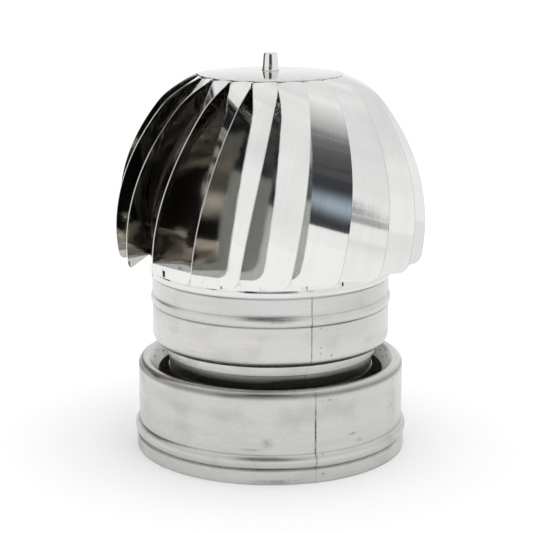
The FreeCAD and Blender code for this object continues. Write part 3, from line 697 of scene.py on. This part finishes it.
random = np.random.default_rng(20)
blade_finish = polished_sheet("polished_blade", 6.0, BLADE_BRIGHT, INSIDE_FROM,
                              (1.0, FOOT_LOW + FOOT_WELD_UP), (BLADE_SHIFT, FOOT_WELD_ACROSS))
for number in range(BLADE_COUNT):
    sway = random.uniform(-SWAY, SWAY) * MM
    ripple = random.uniform(RIPPLE_LEAST, RIPPLE_MOST) * MM
    phase = random.uniform(0, 2 * math.pi)
    wave = np.sin(2 * math.pi * along + phase)
    flex = np.sin(math.pi * along) * (sway * across ** 2 + ripple * across * wave)
    strip = strip_faces(chord, heights[:, None] + 0 * chord, flex)
    foot = strip_faces(foot_chord, foot_heights[:, None] + 0 * foot_chord, 0 * foot_chord)
    grids = []
    for faces, rows in ((strip, heights), (foot, foot_heights), (tab, tab_lengths)):
        points, lengths, widths = closed_strip(*faces, rows, number * BLADE_SHIFT)
        turn = BLADE_PHASE + 2 * math.pi * number / BLADE_COUNT
        grids.append((spin(points, turn), lengths, widths))
    blade = add_grids("blade_strip_%02d" % (number + 1), *grids, wrap=(False, True))
    dress(blade, blade_finish, "rotor", "polished_stainless", "blade_%02d" % (number + 1))


# Crowned disc
# A pressed disc of polished sheet over the blades' tabs, clamped in the middle and spot-welded near its
# rim.

DISC_RISE = 3.0 * MM
DISC_FLAT = 20.0 * MM
DISC_HOLE = 5.05 * MM
DISC_WELD_IN = 5.0 * MM
DISC_WAVE = 0.03 * MM
DISC_COLUMNS = 200
# Painted shade: the disc's polished sheet is a darker grey than the blades' and the ring's
DISC_SHADED_TONE = (0.71, 0.705, 0.69, 1)
crown_curve = ((DISC_RADIUS - DISC_FLAT) ** 2 + DISC_RISE ** 2) / (2 * DISC_RISE)
crown_turn = math.degrees(math.asin((DISC_RADIUS - DISC_FLAT) / crown_curve))
crown_z = RIM_Z + DISC_RISE + SHELL_GAUGE
crown = arc((DISC_FLAT, crown_z - crown_curve), crown_curve, 90 - crown_turn, 90, 28)
disc_face = np.concatenate([crown, run((DISC_FLAT, crown_z), (DISC_HOLE, crown_z))[1:]])
disc = turned("disc_crown", sheet_section(disc_face, SHELL_GAUGE), DISC_COLUMNS, None, DISC_WAVE, 7.0)
disc_pitch = 2 * math.pi * DISC_RADIUS / BLADE_COUNT
disc_finish = polished_sheet("polished_disc", 11.0, DISC_SHADED_TONE, DISC_RADIUS - DISC_HOLE,
                             (disc_pitch, disc_pitch / 2), (1.0, DISC_WELD_IN))
dress(disc, disc_finish, "rotor", "polished_stainless", "top_disc")


# Cap nut
# Turned from bar and polished: flared foot, slight taper and a rounded top. It is screwed down on the
# spindle over the disc.

CAP_FOOT, CAP_BASE, CAP_TOP = 8.5 * MM, 7.8 * MM, 6.6 * MM
CAP_FOOT_HEIGHT, CAP_HEIGHT, CAP_EDGE = 1.4 * MM, 17.0 * MM, 2.2 * MM
CAP_FOOT_EDGE, CAP_SHOULDER = 0.3 * MM, 0.12 * MM
CAP_COLUMNS = 64
CAP_BRIGHT = (0.8, 0.795, 0.78, 1)
NO_INSIDE = 1.0
cap_top_z = crown_z + CAP_HEIGHT
cap_section = run(
    (0, crown_z),
    (CAP_FOOT - CAP_FOOT_EDGE, crown_z),
    arc((CAP_FOOT - CAP_FOOT_EDGE, crown_z + CAP_FOOT_EDGE), CAP_FOOT_EDGE, -90, 60, 8),
    (CAP_BASE, crown_z + CAP_FOOT_HEIGHT),
    (CAP_TOP + CAP_SHOULDER, cap_top_z - CAP_EDGE),
    arc((CAP_TOP - CAP_EDGE, cap_top_z - CAP_EDGE), CAP_EDGE, 0, 90, 12),
    (0, cap_top_z))
cap_nut = turned("cap_nut_turned", cap_section, CAP_COLUMNS)
cap_finish = polished_sheet("polished_cap", 15.0, CAP_BRIGHT, NO_INSIDE, NO_WELDS, NO_WELDS)
dress(cap_nut, cap_finish, "rotor", "polished_stainless", "cap_nut")


# Floor
# A plain pale floor. In mirrors it dims towards the right, and light that the blades mirror over and over
# sees it as a dark room: nearly black tiles, with paler patches that glow for that light alone.

WHITE, BLACK = (1, 1, 1, 1), (0, 0, 0, 1)
TILE_JOINT = (0.1, 0.1, 0.1, 1)
FLOOR_REACH = 8.0
FLOOR_PALE = (0.98, 0.98, 0.98, 1)
MIRRORED_LEFT, MIRRORED_RIGHT = (0.93, 0.93, 0.93, 1), (0.8, 0.8, 0.79, 1)
DIM_FROM, DIM_TO = 0.2, 1.2
MANY_MIRRORS = 5.5
DARK_TILES, PALE_TILES = (0.007, 0.006, 0.006, 1), (1, 0.88, 0.84, 1)
PALE_TILES_STRENGTH = 7.0


def stage_plane(name, corners, finish):
    """A flat sheet of the stage between four corners."""
    mesh = bpy.data.meshes.new(name)
    mesh.from_pydata(corners, [], [(0, 1, 2, 3)])
    mesh.materials.append(finish.material)
    plane = bpy.data.objects.new(name, mesh)
    bpy.context.scene.collection.objects.link(plane)
    return plane


def tiling(finish, place, offset, other_grey, joint, width, height):
    """Rows of tiles, white and another grey, with dark joints of a width between them."""
    return finish.node("ShaderNodeTexBrick", {"offset": offset},
                       {"Vector": place, "Color1": WHITE, "Color2": (other_grey, other_grey, other_grey, 1),
                        "Mortar": TILE_JOINT, "Scale": 1.0, "Mortar Size": joint,
                        "Brick Width": width, "Row Height": height})


floor_finish = Finish("pale_floor")
floor_place = floor_finish.node("ShaderNodeTexCoord", output="Object")
mirrored_often = floor_finish.node("ShaderNodeLightPath", output="Glossy Depth") > MANY_MIRRORS
patches = floor_finish.clouds(floor_place, 4.6, 0.555, 0.565, 0.0)
tiles = tiling(floor_finish, floor_place, 0.5, 0.6, 0.01, 0.12, 0.07)
dark_room = floor_finish.mix(patches * tiles, DARK_TILES, PALE_TILES)
to_right = floor_finish.slope(floor_finish.split(floor_place)[0], DIM_FROM, DIM_TO)
dimmed = floor_finish.mix(to_right, MIRRORED_LEFT, MIRRORED_RIGHT)
in_mirror = floor_finish.node("ShaderNodeLightPath", output="Is Glossy Ray")
seen = floor_finish.mix(in_mirror, FLOOR_PALE, dimmed)
floor_finish.set(Base_Color=floor_finish.mix(mirrored_often, seen, BLACK), Roughness=0.9,
                 Specular_IOR_Level=0.0, Emission_Color=floor_finish.mix(mirrored_often, BLACK, dark_room),
                 Emission_Strength=PALE_TILES_STRENGTH)
stage_plane("floor", [(-FLOOR_REACH, -FLOOR_REACH, 0), (FLOOR_REACH, -FLOOR_REACH, 0),
                      (FLOOR_REACH, FLOOR_REACH, 0), (-FLOOR_REACH, FLOOR_REACH, 0)], floor_finish)


# Dark cards and white surround
# Two cards stand where the room was dark, behind on the left and in front. Only mirrors see them. The white
# surround has faint grey folds aloft, which only mirrors see too.

def room_card(name, corners, low, high, rise, panel, panel_size, fade, patch):
    """A stand-in for a dark part of the room: one shade below and another above the rise, paler panels in
    rows, a pale patch low down, and fading to white from a place across it. Places on it go from 0 to 1."""
    finish = Finish(name)
    place = finish.node("ShaderNodeUVMap", {"uv_map": "card"})
    across, up = finish.split(place)
    rows = tiling(finish, place, 0.0, 0.7, 0.004, 0.03, 0.05)
    panels = finish.clouds(place, panel_size, 0.46, 0.49, 0.0)
    rising = finish.slope(up, *rise)
    window = finish.slope(across, 0.18, 0.34) * finish.slope(across, 1.0, 0.8) * finish.near(up, 0.12, 0.09)
    faded = finish.mix(finish.slope(across, fade, 1.0), finish.mix(rising, low, high), WHITE)
    shaded = finish.mix(window, faded, patch)
    finish.set(Base_Color=BLACK, Roughness=1.0, Specular_IOR_Level=0.0, Emission_Strength=1.0,
               Emission_Color=finish.mix(panels * rows * (1 - rising), shaded, panel))
    card = stage_plane(name, corners, finish)
    layer = card.data.uv_layers.new(name="card")
    layer.uv.foreach_set("vector", (0, 0, 1, 0, 1, 1, 0, 1))
    card.visible_camera = False
    card.visible_diffuse = False
    card.visible_shadow = False
    card.visible_transmission = False


room_card("room_behind", [(-0.62, 0.1, 0.22), (-0.45, 1.3, 0.22), (-0.45, 1.3, 0.9), (-0.62, 0.1, 0.9)],
          low=(0.012, 0.012, 0.012, 1), high=(0.02, 0.02, 0.02, 1), rise=(0.9, 1.0),
          panel=(0.5, 0.44, 0.38, 1), panel_size=9.0, fade=0.99, patch=(0.012, 0.012, 0.012, 1))
room_card("room_front", [(-0.62, -1.5, 0.42), (0.7, -1.5, 0.42), (0.3, -0.25, 2.6), (-0.5, -0.25, 2.6)],
          low=(0.05, 0.053, 0.06, 1), high=(0.92, 0.92, 0.91, 1), rise=(0.28, 0.75),
          panel=(0.1, 0.1, 0.1, 1), panel_size=2.0, fade=0.62, patch=(0.42, 0.5, 0.57, 1))

FOLD_GREY = (0.5, 0.51, 0.52, 1)
surround = Finish("white_surround", bpy.data.worlds, "Background")
bpy.context.scene.world = surround.material
direction = surround.node("ShaderNodeTexCoord")
mirrored = surround.node("ShaderNodeLightPath", output="Is Glossy Ray")
aloft = surround.slope(surround.node("ShaderNodeSeparateXYZ", None, {0: direction}, output=2), 0.0, 0.5)
folds = surround.clouds(direction, 2.4, 0.3, 0.7, 2.0)
surround.set(Color=surround.mix(mirrored * aloft * (1 - folds) * 0.34, WHITE, FOLD_GREY), Strength=1.0)


# Lamp and camera
# One soft lamp from above, which mirrors don't see, and a camera that looks down on the object from the
# front.

SUN_STRENGTH, SUN_WIDTH = 0.4, math.radians(50)
SUN_TILT = (math.radians(8), math.radians(10), 0)
sun = bpy.data.lights.new("daylight", "SUN")
sun.energy = SUN_STRENGTH
sun.angle = SUN_WIDTH
sun_object = bpy.data.objects.new("daylight", sun)
sun_object.rotation_euler = SUN_TILT
sun_object.visible_glossy = False
bpy.context.scene.collection.objects.link(sun_object)

CAMERA_LENS, CAMERA_SENSOR = 106.9, 36.0
CAMERA_PLACE = (-0.0039, -1.5106, 0.520)
CAMERA_PITCH = math.radians(12.8)
camera_data = bpy.data.cameras.new("camera")
camera_data.lens = CAMERA_LENS
camera_data.sensor_width = CAMERA_SENSOR
camera = bpy.data.objects.new("camera", camera_data)
camera.location = CAMERA_PLACE
camera.rotation_euler = (math.pi / 2 - CAMERA_PITCH, 0, 0)
bpy.context.scene.collection.objects.link(camera)
bpy.context.scene.camera = camera

bpy.context.scene.view_settings.view_transform = "Standard"
bpy.context.scene.cycles.glossy_bounces = 11
bpy.context.scene.cycles.max_bounces = 12
